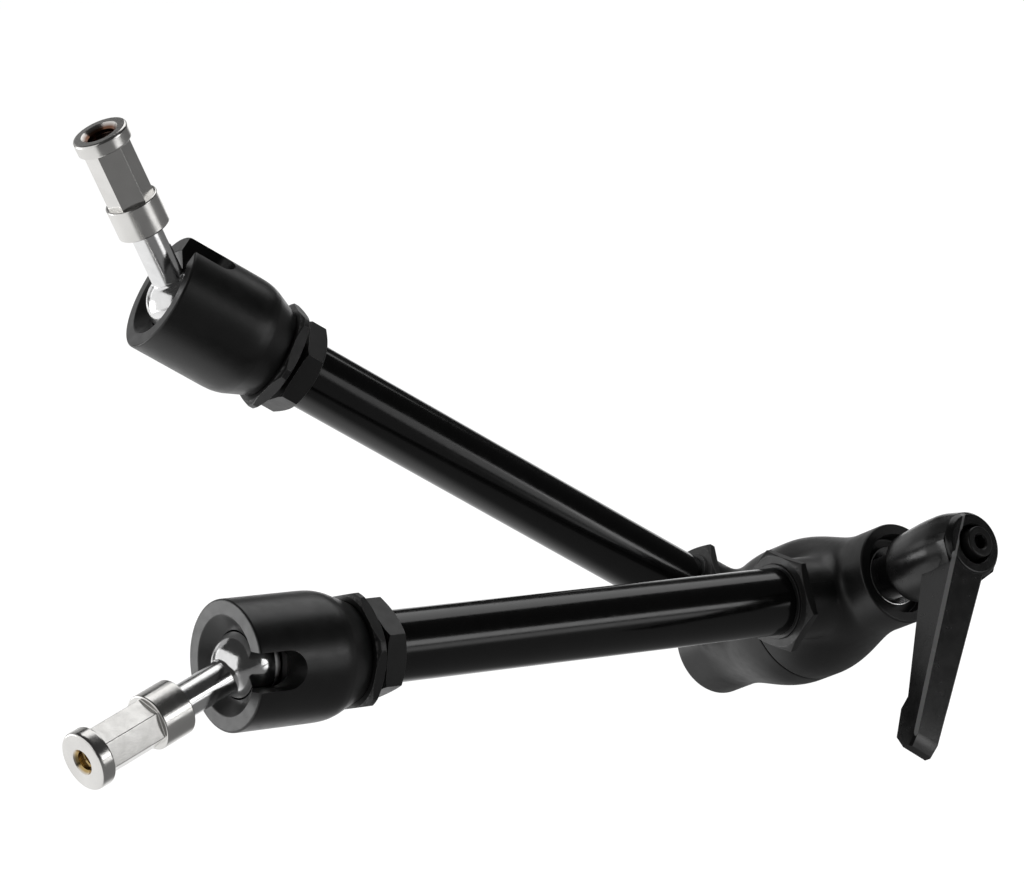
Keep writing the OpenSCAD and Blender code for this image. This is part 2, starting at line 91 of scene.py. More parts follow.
# %% [markdown]
# ## Where the pieces go
# Every piece is modelled standing upright at the origin, in millimetres read off the solids, and is then laid
# in its place. The places come from the joints of the frame: the elbow's axis, the two ball centres and the
# directions of the tubes. Heights along an arm are counted from the elbow's axis, and heights on a stud from
# the middle of its ball.

# %% Local frames
JOINTS = {joint["name"]: joint for joint in frame["joints"]}


def joint_axis(name):
    return Vector(JOINTS[name]["axis"]).normalized()


def joint_place(name):
    return Vector(JOINTS[name]["pos_m"])


def local_frame(origin, z_axis, x_axis):
    """A matrix that lays an upright piece along z_axis, with its x side towards x_axis."""
    z = z_axis.normalized()
    y = z.cross(x_axis).normalized()
    x = y.cross(z)
    return Matrix.Translation(origin) @ Matrix((x, y, z)).transposed().to_4x4()


ELBOW_AXIS = joint_axis("elbow_pivot")
LOWER_OUT = joint_axis("lower_swivel")
UPPER_OUT = joint_axis("upper_swivel")
ELBOW = joint_place("elbow_pivot")
LOWER_BALL = joint_place("lower_swivel")
UPPER_BALL = joint_place("upper_swivel")
BALL_REACH = (LOWER_BALL - ELBOW).length / MM
REAR_ELBOW = UPPER_BALL - UPPER_OUT * (LOWER_BALL - ELBOW).length
HALF_OFFSET = (REAR_ELBOW - ELBOW).length / MM / 2

# The lever's direction about the elbow's axis, counted from the x side of the front elbow's frame.
LEVER_ANGLE = -124.3
UPPER_STUD_OUT = joint_axis("upper_spin")
PLACES = {
    "lower_arm": local_frame(ELBOW, LOWER_OUT, ELBOW_AXIS),
    "upper_arm": local_frame(REAR_ELBOW, UPPER_OUT, ELBOW_AXIS),
    "front_elbow": local_frame(ELBOW, ELBOW_AXIS, -LOWER_OUT),
    "rear_elbow": local_frame(REAR_ELBOW, -ELBOW_AXIS, -UPPER_OUT),
    "lower_stud": local_frame(LOWER_BALL, -joint_axis("lower_spin"), Vector((0, 0, 1))),
    "upper_stud": local_frame(UPPER_BALL, UPPER_STUD_OUT,
                              joint_axis("upper_tilt").cross(UPPER_STUD_OUT)),
}
print("ball reach:", round(BALL_REACH, 1), "half of the arms' offset:", round(HALF_OFFSET, 1))

# %% [markdown]
# ## Tools of the workshop
# Turned pieces are grown ring by ring from a circle, as on a lathe: the last ring is extruded and scaled.
# A profile is written as corners, each with the radius of its rounding, and a helper puts the round in.
# Cuts are made with a Boolean modifier, a Bevel modifier breaks the edges that a cut leaves, and a Weighted
# Normal modifier keeps the flats flat between their rounded edges. Each modifier is applied, so a finished
# piece is plain mesh.

# %% Modelling helpers
def select_only(piece):
    bpy.ops.object.select_all(action="DESELECT")
    piece.select_set(True)
    bpy.context.view_layer.objects.active = piece


def new_piece(name):
    """Names the primitive that was just added."""
    piece = bpy.context.active_object
    piece.name = name
    piece.data.name = name
    select_only(piece)
    return piece


def rounded(corners, closed=False, steps=5):
    """Corners (radius, height, rounding) as a smooth row of (radius, height) rings."""
    rings = []
    count = len(corners)
    for i, (r, z, fillet) in enumerate(corners):
        here = Vector((r, z))
        ends = not closed and i in (0, count - 1)
        if fillet == 0 or ends:
            rings.append((r, z))
            continue
        before = Vector(corners[i - 1][:2]) - here
        after = Vector(corners[(i + 1) % count][:2]) - here
        start = here + before.normalized() * min(fillet, before.length * 0.45)
        end = here + after.normalized() * min(fillet, after.length * 0.45)
        for step in range(steps + 1):
            t = step / steps
            point = start * (1 - t) ** 2 + here * 2 * t * (1 - t) + end * t ** 2
            rings.append((point.x, point.y))
    return rings


def turned(name, rings, sides=96, closed=False):
    """Grows a surface of revolution through (radius, height) rings; a closed one comes back to its start."""
    bpy.ops.object.select_all(action="DESELECT")
    rings = [(r * MM, z * MM) for r, z in rings]
    if closed:
        rings.append(rings[0])
    first_radius, first_height = rings[0]
    bpy.ops.mesh.primitive_circle_add(vertices=sides, radius=first_radius, location=(0, 0, 0))
    piece = new_piece(name)
    bpy.ops.object.mode_set(mode="EDIT")
    bpy.ops.mesh.select_all(action="SELECT")
    bpy.ops.transform.translate(value=(0, 0, first_height))
    if not closed:
        bpy.ops.mesh.edge_face_add()
        bpy.ops.mesh.select_all(action="SELECT")
    for (r0, z0), (r1, z1) in zip(rings, rings[1:]):
        bpy.ops.mesh.extrude_region_move(TRANSFORM_OT_translate={"value": (0, 0, z1 - z0)})
        bpy.ops.transform.resize(value=(r1 / r0, r1 / r0, 1), center_override=(0, 0, z1))
    bpy.ops.mesh.select_all(action="SELECT")
    if closed:
        bpy.ops.mesh.remove_doubles(threshold=1e-6)
    bpy.ops.mesh.normals_make_consistent(inside=False)
    bpy.ops.object.mode_set(mode="OBJECT")
    return piece


def round_bar(name, radius, low, high, sides=96):
    """A plain round bar, used as a tool or as a core."""
    return turned(name, [(radius, low), (radius, high)], sides)


def hex_bar(name, across_flats, low, high, turn=0.0):
    """A hexagonal bar between two heights, with a corner on the x side before it is turned."""
    bpy.ops.object.select_all(action="DESELECT")
    bpy.ops.mesh.primitive_cylinder_add(
        vertices=6, radius=across_flats / math.sqrt(3) * MM, depth=(high - low) * MM,
        location=(0, 0, (low + high) / 2 * MM))
    piece = new_piece(name)
    # Blender puts a cylinder's first corner on the y side.
    move_mesh(piece, Matrix.Rotation(math.radians(turn - 90), 4, "Z"))
    return piece


def move_mesh(piece, matrix):
    """Moves the mesh itself, so that the object stays at the origin."""
    piece.matrix_world = matrix @ piece.matrix_world
    select_only(piece)
    bpy.ops.object.transform_apply(location=True, rotation=True, scale=True)
    return piece


def copy_piece(piece, name):
    """A copy with its own mesh."""
    twin = piece.copy()
    twin.data = piece.data.copy()
    twin.name = name
    twin.data.name = name
    bpy.context.scene.collection.objects.link(twin)
    return twin


def apply_modifier(piece, modifier):
    select_only(piece)
    bpy.ops.object.modifier_apply(modifier=modifier.name)


def combine(piece, tool, operation):
    """Joins (UNION), cuts (DIFFERENCE) or intersects (INTERSECT) a piece with a tool that is used up."""
    modifier = piece.modifiers.new("combine", "BOOLEAN")
    modifier.operation = operation
    modifier.solver = "EXACT"
    modifier.object = tool
    apply_modifier(piece, modifier)
    bpy.data.objects.remove(tool)
    return piece


def tidy_mesh(piece, gap=0.01, flat=0.5):
    """Merges points that a cut left on top of each other and dissolves needless edges on flats."""
    select_only(piece)
    bpy.ops.object.mode_set(mode="EDIT")
    bpy.ops.mesh.select_all(action="SELECT")
    bpy.ops.mesh.remove_doubles(threshold=gap * MM)
    bpy.ops.mesh.dissolve_limited(angle_limit=math.radians(flat))
    bpy.ops.object.mode_set(mode="OBJECT")
    return piece


def break_edges(piece, width, segments=2, angle=32):
    """A Bevel modifier on every edge that is sharper than an angle."""
    modifier = piece.modifiers.new("break_edges", "BEVEL")
    modifier.width = width * MM
    modifier.segments = segments
    modifier.limit_method = "ANGLE"
    modifier.angle_limit = math.radians(angle)
    apply_modifier(piece, modifier)
    return piece


def smooth(piece, angle=35):
    """Smooth shading up to an angle, with the large faces ruling the normals."""
    select_only(piece)
    bpy.ops.object.shade_smooth_by_angle(angle=math.radians(angle))
    modifier = piece.modifiers.new("flat_flats", "WEIGHTED_NORMAL")
    modifier.keep_sharp = True
    apply_modifier(piece, modifier)
    return piece


def lay(piece, place, body, slot, material, *nodes):
    """Lays a finished piece in its place, hands it to a body and hides the nodes it stands for."""
    smooth(piece)
    move_mesh(piece, PLACES[place])
    piece.data.materials.clear()
    piece.data.materials.append(material)
    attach(piece, body)
    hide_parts(*nodes)
    print(piece.name, "faces:", len(piece.data.polygons))
    return piece


# %% [markdown]
# ## Finishes
# A finish is read from Object coordinates, which are in metres here, so a grain of half a millimetre has a
# scale in the thousands. Grain, worn edges with painted highlights and the mask near a line are node groups
# that put out only values.
# Each material keeps its own shader and gives the groups its own numbers.

# %% Node group: grain
def group_with(name, inputs, outputs):
    """An empty node group with named inputs and outputs."""
    group = bpy.data.node_groups.new(name, "ShaderNodeTree")
    for label, kind, value in inputs:
        socket = group.interface.new_socket(name=label, in_out="INPUT", socket_type=kind)
        socket.default_value = value
    for label, kind in outputs:
        group.interface.new_socket(name=label, in_out="OUTPUT", socket_type=kind)
    return group, group.nodes.new("NodeGroupInput"), group.nodes.new("NodeGroupOutput")


def add_node(tree, kind, links=(), **settings):
    """A node with its settings and with (input, value or output socket) pairs."""
    node = tree.nodes.new(kind)
    for setting, value in settings.items():
        setattr(node, setting, value)
    for name, value in links:
        if isinstance(value, bpy.types.NodeSocket):
            tree.links.new(value, node.inputs[name])
        else:
            node.inputs[name].default_value = value
    return node


def make_grain():
    """Fine noise mapped between two values: roughness, height or a mask."""
    group, start, end = group_with(
        "grain",
        [("Scale", "NodeSocketFloat", 2000.0), ("Low", "NodeSocketFloat", 0.3),
         ("High", "NodeSocketFloat", 0.5)],
        [("Value", "NodeSocketFloat")])
    where = add_node(group, "ShaderNodeTexCoord")
    noise = add_node(group, "ShaderNodeTexNoise",
                     [("Vector", where.outputs["Object"]), ("Scale", start.outputs["Scale"]),
                      ("Detail", 4)])
    spread = add_node(group, "ShaderNodeMapRange",
                      [("Value", noise.outputs["Fac"]), ("From Min", 0.3), ("From Max", 0.7),
                       ("To Min", start.outputs["Low"]), ("To Max", start.outputs["High"])])
    group.links.new(spread.outputs["Result"], end.inputs["Value"])
    return group


GRAIN = make_grain()


# %% [markdown]
# ## Worn edges and painted edge highlights
# Sharp edges are painted lighter: partly the black coating worn thin, partly a painted highlight where
# the light catches an edge. The Bevel node gives the normal that a softened edge would have. Where it
# differs from the true normal there is an edge, and noise breaks the line up so that it doesn't look drawn.

# %% Node group: worn edges and painted highlights
def make_edge_wear():
    """A broken mask where the softened normal leaves the true one."""
    group, start, end = group_with(
        "edge_wear",
        [("Width", "NodeSocketFloat", 0.3 * MM), ("Amount", "NodeSocketFloat", 1.0),
         ("Break Up", "NodeSocketFloat", 900.0)],
        [("Mask", "NodeSocketFloat")])
    soft = add_node(group, "ShaderNodeBevel", [("Radius", start.outputs["Width"])], samples=6)
    true = add_node(group, "ShaderNodeNewGeometry")
    alike = add_node(group, "ShaderNodeVectorMath", operation="DOT_PRODUCT",
                     links=[(0, soft.outputs["Normal"]), (1, true.outputs["True Normal"])])
    edge = add_node(group, "ShaderNodeMapRange",
                    [("Value", alike.outputs["Value"]), ("From Min", 0.985), ("From Max", 0.9)])
    where = add_node(group, "ShaderNodeTexCoord")
    noise = add_node(group, "ShaderNodeTexNoise",
                     [("Vector", where.outputs["Object"]), ("Scale", start.outputs["Break Up"]),
                      ("Detail", 3)])
    patches = add_node(group, "ShaderNodeMapRange",
                       [("Value", noise.outputs["Fac"]), ("From Min", 0.35), ("From Max", 0.6)])
    broken = add_node(group, "ShaderNodeMath", operation="MULTIPLY",
                      links=[(0, edge.outputs["Result"]), (1, patches.outputs["Result"])])
    scaled = add_node(group, "ShaderNodeMath", operation="MULTIPLY",
                      links=[(0, broken.outputs[0]), (1, start.outputs["Amount"])])
    group.links.new(scaled.outputs[0], end.inputs["Mask"])
    return group


EDGE_WEAR_AND_HIGHLIGHT = make_edge_wear()


# %% [markdown]
# ## Finish along a line
# Some looks follow a line: the bare threads inside a tapped hole lie close to its axis, and the lever carries
# a painted highlight along its long edge. This group measures the distance to a line, which is the length of
# a cross product, and turns it into a mask.

# %% Node group: near a line
def make_near_line():
    """A mask round a line through a point."""
    group, start, end = group_with(
        "near_line",
        [("Point", "NodeSocketVector", (0, 0, 0)), ("Direction", "NodeSocketVector", (0, 0, 1)),
         ("Radius", "NodeSocketFloat", MM)],
        [("Mask", "NodeSocketFloat")])
    where = add_node(group, "ShaderNodeTexCoord")
    offset = add_node(group, "ShaderNodeVectorMath", operation="SUBTRACT",
                      links=[(0, where.outputs["Object"]), (1, start.outputs["Point"])])
    across = add_node(group, "ShaderNodeVectorMath", operation="CROSS_PRODUCT",
                      links=[(0, offset.outputs[0]), (1, start.outputs["Direction"])])
    distance = add_node(group, "ShaderNodeVectorMath", operation="LENGTH",
                        links=[(0, across.outputs[0])])
    share = add_node(group, "ShaderNodeMath", operation="DIVIDE",
                     links=[(0, distance.outputs["Value"]), (1, start.outputs["Radius"])])
    mask = add_node(group, "ShaderNodeMapRange",
                    [("Value", share.outputs[0]), ("From Min", 1.1), ("From Max", 0.9)])
    group.links.new(mask.outputs["Result"], end.inputs["Mask"])
    return group


NEAR_LINE = make_near_line()


def line_in(place, start, end):
    """A line through two points of a local frame, given in millimetres, as a point and a direction."""
    first = PLACES[place] @ (Vector(start) * MM)
    second = PLACES[place] @ (Vector(end) * MM)
    return first, (second - first).normalized()


# %% Material helper
GRAIN_DEPTH = 0.04
# Width and tone of the lighter edges: worn coating and a painted highlight.
WEAR_AND_HIGHLIGHT_WIDTH = 0.25
WEAR_AND_HIGHLIGHT_TONE = 0.25


def grain_node(tree, scale, low, high):
    return add_node(tree, "ShaderNodeGroup", node_tree=GRAIN,
                    links=[("Scale", scale), ("Low", low), ("High", high)])


def colour_of(value):
    """A grey value or a colour as Blender's four numbers."""
    return (value, value, value, 1) if isinstance(value, float) else (*value, 1)


def blend_colour(tree, factor, first, second):
    """Mixes two colours; the first may be the output of another mix."""
    mix = add_node(tree, "ShaderNodeMix", data_type="RGBA", links=[("Factor", factor)])
    if isinstance(first, bpy.types.NodeSocket):
        tree.links.new(first, mix.inputs["A"])
    else:
        mix.inputs["A"].default_value = colour_of(first)
    mix.inputs["B"].default_value = colour_of(second)
    return mix.outputs["Result"]


def finish(name, dark, light, metallic, rough, patch=120, fine=2500, bump=0.15, wear=0.0,
           line=None, line_width=1.0, line_colour=0.2):
    """A coated or plated finish: tone and roughness drift, the surface has a grain, edges can be lightened as
    worn coating with a painted highlight, or another colour shown within a width of a line."""
    material = bpy.data.materials.new(name)
    material.use_nodes = True
    tree = material.node_tree
    shader = tree.nodes["Principled BSDF"]
    shader.inputs["Metallic"].default_value = metallic
    drift = grain_node(tree, patch, 0, 1)
    colour = blend_colour(tree, drift.outputs["Value"], dark, light)
    # Edges painted lighter: worn coating and a painted highlight.
    if wear:
        worn_and_highlit = add_node(tree, "ShaderNodeGroup", node_tree=EDGE_WEAR_AND_HIGHLIGHT,
                        links=[("Width", WEAR_AND_HIGHLIGHT_WIDTH * MM), ("Amount", wear)])
        colour = blend_colour(tree, worn_and_highlit.outputs["Mask"], colour, WEAR_AND_HIGHLIGHT_TONE)
    if line:
        point, direction = line
        near = add_node(tree, "ShaderNodeGroup", node_tree=NEAR_LINE,
                        links=[("Point", point), ("Direction", direction), ("Radius", line_width * MM)])
        colour = blend_colour(tree, near.outputs["Mask"], colour, line_colour)
    roughness = grain_node(tree, patch * 3, rough[0], rough[1])
    height = grain_node(tree, fine, 0, 1)
    relief = add_node(tree, "ShaderNodeBump",
                      [("Strength", bump), ("Distance", GRAIN_DEPTH * MM),
                       ("Height", height.outputs["Value"])])
    tree.links.new(colour, shader.inputs["Base Color"])
    tree.links.new(roughness.outputs["Value"], shader.inputs["Roughness"])
    tree.links.new(relief.outputs["Normal"], shader.inputs["Normal"])
    return material


TUBE_BLACK = finish("tube_black", 0.004, 0.006, 0.0, (0.12, 0.18), bump=0.03)
CUP_BLACK = finish("cup_black", 0.008, 0.012, 0.0, (0.3, 0.38), bump=0.08)
# Nuts, castings and screws get edges painted lighter: worn coating and a painted highlight.
NUT_BLACK = finish("nut_black", 0.012, 0.018, 0.0, (0.34, 0.44), wear=0.8)
CASTING_BLACK = finish("casting_black", 0.010, 0.014, 0.0, (0.36, 0.44), fine=1800, bump=0.2,
                       wear=0.35)
LEVER_TURN = Matrix.Rotation(math.radians(LEVER_ANGLE), 3, "Z")
# A painted highlight: a lighter line along the lever's long outer edge.
LEVER_HIGHLIGHT_LINE = line_in("front_elbow", LEVER_TURN @ Vector((6.0, -5.75, 54.2)),
                      LEVER_TURN @ Vector((63.0, -4.3, 54.2)))
LEVER_BLACK = finish("lever_black", 0.008, 0.012, 0.0, (0.2, 0.28), fine=1800,
                     line=LEVER_HIGHLIGHT_LINE, line_width=0.7, line_colour=0.3)
SCREW_BLACK = finish("screw_black", 0.012, 0.02, 0.4, (0.28, 0.36), wear=0.6)
CHROME = finish("chrome", 0.8, 0.87, 1.0, (0.08, 0.2), patch=400, bump=0.12)
LOWER_TAP = line_in("lower_stud", (0, 0, 40), (0, 0, 60))
UPPER_TAP = line_in("upper_stud", (0, 0, 40), (0, 0, 60))
NICKEL_DARK, NICKEL_LIGHT = (0.72, 0.71, 0.69), (0.8, 0.79, 0.77)
LOWER_NICKEL = finish("nickel_brass_thread", NICKEL_DARK, NICKEL_LIGHT, 1.0, (0.16, 0.26), bump=0.1,
                      line=LOWER_TAP, line_width=3.3, line_colour=(0.5, 0.36, 0.16))
UPPER_NICKEL = finish("nickel_brown_thread", NICKEL_DARK, NICKEL_LIGHT, 1.0, (0.16, 0.26), bump=0.1,
                      line=UPPER_TAP, line_width=4.9, line_colour=(0.16, 0.08, 0.05))
STEEL = finish("steel", 0.4, 0.5, 1.0, (0.3, 0.4))
NYLON = finish("nylon", (0.75, 0.73, 0.67), (0.8, 0.78, 0.72), 0.0, (0.45, 0.55))
FIBRE = finish("fibre", (0.2, 0.11, 0.06), (0.26, 0.15, 0.08), 0.0, (0.7, 0.8))

NODE_FINISHES = {
    "lower_spigot": LOWER_NICKEL, "upper_spigot": UPPER_NICKEL, "ball_stud": CHROME,
    "ball_seat": STEEL, "cup": CUP_BLACK, "lock_nut": NUT_BLACK, "tube_nose": NUT_BLACK,
    "tube": TUBE_BLACK, "rod_guide": NYLON, "push_rod": STEEL, "knuckle": CASTING_BLACK,
    "ring": FIBRE, "wedge": STEEL,
    "spring": STEEL, "bolt": STEEL, "washer": CHROME, "plug": NUT_BLACK,
    "insert": SCREW_BLACK, "handle": LEVER_BLACK, "screw": SCREW_BLACK,
}


def finish_for(node):
    """The finish whose name the node's name ends with; the longest ending wins."""
    endings = [ending for ending in NODE_FINISHES if node.endswith(ending)]
    return NODE_FINISHES[max(endings, key=len)]


for node_name, node_object in frame["nodes"].items():
    node_object.data.materials.clear()
    node_object.data.materials.append(finish_for(node_name))
print("finishes:", len(set(NODE_FINISHES.values())))

# %% [markdown]
# ## The tubes
# Each arm is a length of drawn tube with a glossy black coat. It is turned as a hollow ring with both end
# edges broken, which is what the saw and the deburring tool leave. One is modelled, and the other is a copy.

# %% Tubes
TUBE_R = 9.8
TUBE_BORE_R = 8.0
TUBE_START = 20.0
NOSE_BACK = 170.5


def make_tube(name):
    edge = 0.25
    profile = [(TUBE_BORE_R, TUBE_START, edge), (TUBE_R, TUBE_START, edge),
               (TUBE_R, NOSE_BACK, edge), (TUBE_BORE_R, NOSE_BACK, edge)]
    return turned(name, rounded(profile, closed=True, steps=2), sides=160, closed=True)


lower_tube = make_tube("lower_tube_coated")
upper_tube = copy_piece(lower_tube, "upper_tube_coated")
lay(lower_tube, "lower_arm", "lower_arm", "tube_gloss_black", TUBE_BLACK, "lower_tube")
lay(upper_tube, "upper_arm", "upper_arm", "tube_gloss_black", TUBE_BLACK, "upper_tube")

# %% [markdown]
# ## The cups
# A cup is bored and turned from bar: a long cylinder, a taper down to the lock nut, and at the front a dished
# mouth that ends in the lip which keeps the ball in. A slot is milled through one side, so that a stud can
# be laid over at a right angle. The profile runs round the outside and back through the bore, and the slot is
# cut with a tool of its own shape: a round end mill, followed by its straight run to the face.

# %% Cup profile
BALL_R = 9.35
SOCKET_R = 9.65
CUP_R = 17.45
CUP_BACK = 182.3
CUP_FACE = 219.5
LIP_R = 9.1
MOUTH_R = 13.2
THREAD_BORE_R = 8.05
SEAT_BORE_BACK = 197.2


def cup_profile():
    lip_height = BALL_REACH + math.sqrt(SOCKET_R ** 2 - LIP_R ** 2)
    outside = [(THREAD_BORE_R, CUP_BACK, 0.3), (13.5, CUP_BACK, 0.4), (16.6, CUP_BACK + 7.4, 0.5),
               (17.25, CUP_BACK + 9.8, 1.5), (CUP_R, CUP_BACK + 12.6, 2.0), (CUP_R, CUP_FACE, 0.7),
               (MOUTH_R, CUP_FACE, 0.35), (LIP_R + 0.55, lip_height + 0.35, 0.3), (LIP_R, lip_height, 0.1)]
    socket = []
    for step in range(1, 7):
        angle = math.acos(LIP_R / SOCKET_R) * (1 - step / 6)
        socket.append((SOCKET_R * math.cos(angle), BALL_REACH + SOCKET_R * math.sin(angle), 0))
    inside = [(SOCKET_R, SEAT_BORE_BACK, 0.2), (THREAD_BORE_R, SEAT_BORE_BACK, 0.2)]
    return rounded(outside + socket + inside, closed=True)


# %% Cups
SLOT_W = 10.3
SLOT_MID = 210.85
SLOT_DEPTH = 19.0
LOWER_SLOT = -20.5
UPPER_SLOT = 42.0


def make_cup(name, slot_turn):
    cup = turned(name, cup_profile(), sides=160, closed=True)
    end_mill = round_bar("end_mill", SLOT_W / 2, 0, SLOT_DEPTH, sides=64)
    move_mesh(end_mill, Matrix.Translation((0, 0, SLOT_MID * MM)) @ Matrix.Rotation(math.radians(90), 4, "Y"))
    bpy.ops.object.select_all(action="DESELECT")
    run = CUP_FACE + 1 - SLOT_MID
    bpy.ops.mesh.primitive_cube_add(size=1, location=(0, 0, 0))
    straight = new_piece("slot_run")
    size = Matrix.Diagonal((SLOT_DEPTH * MM, SLOT_W * MM, run * MM, 1))
    centre = Matrix.Translation((SLOT_DEPTH / 2 * MM, 0, (SLOT_MID + run / 2) * MM))
    move_mesh(straight, centre @ size)
    combine(end_mill, straight, "UNION")
    move_mesh(end_mill, Matrix.Rotation(math.radians(slot_turn), 4, "Z"))
    combine(cup, end_mill, "DIFFERENCE")
    tidy_mesh(cup)
    return break_edges(cup, 0.25)


lay(make_cup("lower_cup_turned", LOWER_SLOT), "lower_arm", "lower_arm", "cup_black", CUP_BLACK, "lower_cup")
lay(make_cup("upper_cup_turned", UPPER_SLOT), "upper_arm", "upper_arm", "cup_black", CUP_BLACK, "upper_cup")

# %% [markdown]
# ## Lock nuts and tube noses
# A thin hexagonal nut locks each cup on its thread, and a hexagonal nose plugs the tube. Real hexagons are
# turned before they are milled, so their corners are cut back by a cone. The hexagon is intersected with a
# turned blank to get those curved lands. The thread between nut and nose is cut as V grooves.

# %% Lock nuts
NUT_BACK = 179.2
NUT_AF = 30.0
NUT_CORNER_R = 16.5


def make_lock_nut(name, turn):
    nut = hex_bar(name, NUT_AF, NUT_BACK, CUP_BACK, turn)
    blank = turned("blank", [(15.1, NUT_BACK - 0.01), (NUT_CORNER_R, NUT_BACK + 0.8),
                             (NUT_CORNER_R, CUP_BACK - 0.8), (15.1, CUP_BACK + 0.01)], sides=144)
    combine(nut, blank, "INTERSECT")
    combine(nut, round_bar("bore", THREAD_BORE_R, NUT_BACK - 1, CUP_BACK + 1), "DIFFERENCE")
    tidy_mesh(nut)
    return break_edges(nut, 0.12)


lay(make_lock_nut("lower_nut_milled", -9), "lower_arm", "lower_arm", "nut_black", NUT_BLACK,
    "lower_lock_nut")
lay(make_lock_nut("upper_nut_milled", 19), "upper_arm", "upper_arm", "nut_black", NUT_BLACK,
    "upper_lock_nut")

# %% Tube noses
NOSE_AF = 24.5
NOSE_FRONT = 176.9
NOSE_PLUG = 152.5
THREAD_END = 197.0
THREAD_R = 8.0
ROD_BORE_R = 3.05


def thread_rings(crest, root, low, high, pitch):
    """V grooves between two heights, with a narrow flat on each crest."""
    rings = []
    turns = int((high - low) / pitch)
    for turn in range(turns):
        base = low + turn * pitch
        rings += [(root, base + pitch * 0.06), (crest, base + pitch * 0.44),
                  (crest, base + pitch * 0.56), (root, base + pitch * 0.94)]
    return rings


def make_nose(name, turn):
    nose = hex_bar(name, NOSE_AF, NOSE_BACK, NOSE_FRONT, turn)
    corner_r = NOSE_AF / math.sqrt(3) + 0.1
    blank = turned("blank", [(11.85, NOSE_BACK - 0.01), (corner_r, NOSE_BACK + 1.2),
                             (corner_r, NOSE_FRONT - 0.5), (13.2, NOSE_FRONT + 0.01)], sides=144)
    combine(nose, blank, "INTERSECT")
    thread = thread_rings(THREAD_R, THREAD_R - 0.55, NOSE_FRONT + 0.1, NUT_BACK + 1, 1.0)
    stem = turned("stem", [(TUBE_BORE_R - 0.05, NOSE_PLUG), (TUBE_BORE_R - 0.05, NOSE_BACK + 0.5),
                           (THREAD_R - 0.55, NOSE_BACK + 0.5)] + thread
                  + [(THREAD_R, NUT_BACK + 1.2), (THREAD_R, THREAD_END - 0.6), (THREAD_R - 0.6, THREAD_END)])
    combine(nose, stem, "UNION")
    combine(nose, round_bar("bore", ROD_BORE_R, NOSE_PLUG - 1, THREAD_END + 1, sides=48), "DIFFERENCE")
    tidy_mesh(nose)
    return break_edges(nose, 0.12)


lay(make_nose("lower_nose_milled", 2), "lower_arm", "lower_arm", "nose_black", NUT_BLACK,
    "lower_tube_nose")
lay(make_nose("upper_nose_milled", -10), "upper_arm", "upper_arm", "nose_black", NUT_BLACK,
    "upper_tube_nose")

# %% [markdown]
# ## The knuckles
# A knuckle is a casting: a round body that flares to the face where the two meet, and a boss that grows out
# of its side to take the tube. A casting has no sharp inner corner there, the two forms run into each other
# in a fillet. The body is turned with many rings, and then the points on the boss's side are drawn out to the
# boss, with a soft minimum of the two distances in between. That gives one even skin, where a Boolean and a
# bevel would leave a seam.

# %% Knuckle body
KNUCKLE_R = 21.0
NECK_R = 14.9
KNUCKLE_LEN = 44.5
BLEND_START = 4.0
BLEND_END = 33.8
BOSS_R = 12.0
BOSS_END = 28.4
FILLET = 3.4
RING_STEP = 0.55
FINE_RING_STEP = 0.12
SEARCH_STEPS = 24


def knuckle_radius(height):
    """Radius of the casting's body at a height above the meeting face."""
    if height <= BLEND_START:
        return KNUCKLE_R
    if height >= BLEND_END:
        return NECK_R
    share = (height - BLEND_START) / (BLEND_END - BLEND_START)
    return NECK_R + (KNUCKLE_R - NECK_R) * (1 + math.cos(math.pi * share)) / 2


def soft_min(a, b, width):
    blend = max(width - abs(a - b), 0) / width
    return min(a, b) - blend * blend * width / 4


def skin_distance(point, body_r):
    """Distance to the skin of body and boss together; the boss runs out along -x."""
    body = math.hypot(point.x, point.y) - body_r
    boss = max(math.hypot(point.y, point.z) - BOSS_R, -point.x - BOSS_END)
    return soft_min(body, boss, FILLET)


def draw_out_boss(piece):
    """Moves each point of the body straight outwards until it lies on the common skin, by halving."""
    for vertex in piece.data.vertices:
        point = vertex.co / MM
        radius = math.hypot(point.x, point.y)
        if point.x > 0 or radius < NECK_R - 3:
            continue
        height = point.z + HALF_OFFSET
        if height < 2 or height > KNUCKLE_LEN - 2:
            continue
        direction = Vector((point.x, point.y, 0)) / radius
        low, high = radius - 0.5, BOSS_END + 3
        for _ in range(SEARCH_STEPS):
            middle = (low + high) / 2
            probe = direction * middle + Vector((0, 0, point.z))
            if skin_distance(probe, radius) > 0:
                high = middle
            else:
                low = middle
        if low > radius:
            vertex.co = (direction * low + Vector((0, 0, point.z))) * MM
    piece.data.update()


def knuckle_rings(edge):
    """Rings of the body, close together where the boss's top and underside meet it."""
    start = 0.15
    rings = [(KNUCKLE_R - 0.5, start), (KNUCKLE_R - 0.15, start + 0.1), (KNUCKLE_R, start + 0.5)]
    height = 1.6
    while height < KNUCKLE_LEN - edge - 0.4:
        rings.append((knuckle_radius(height), height))
        beside_boss = 9.5 < abs(height - HALF_OFFSET) < 12.6
        height += FINE_RING_STEP if beside_boss else RING_STEP
    for step in range(6):
        angle = math.radians(90) * step / 5
        rings.append((NECK_R - edge + edge * math.cos(angle), KNUCKLE_LEN - edge + edge * math.sin(angle)))
    return [(r, z - HALF_OFFSET) for r, z in rings]


print("knuckle rings:", len(knuckle_rings(0.6)))

# %% [markdown]
# The boss ends in a hexagonal slab, which the maker holds with a spanner while the tube is pressed in. Its
# front edge is turned to a chamfer, so each corner carries a small bright crescent. A thin collar stands
# round the tube.

# %% Boss slab and cuts
BOSS_AF = 26.6
BOSS_REACH = 29.8
SLAB_LEN = 2.8
COLLAR_R = 11.0
COLLAR_TOP = 30.6
RECESS_R = 11.75
RECESS_FLOOR = 17.3
CONE_BORE_R = 10.05
WEB_START = 12.3
WEDGE_BORE_R = 7.05
ALONG_ARM = Matrix.Rotation(math.radians(-90), 4, "Y")


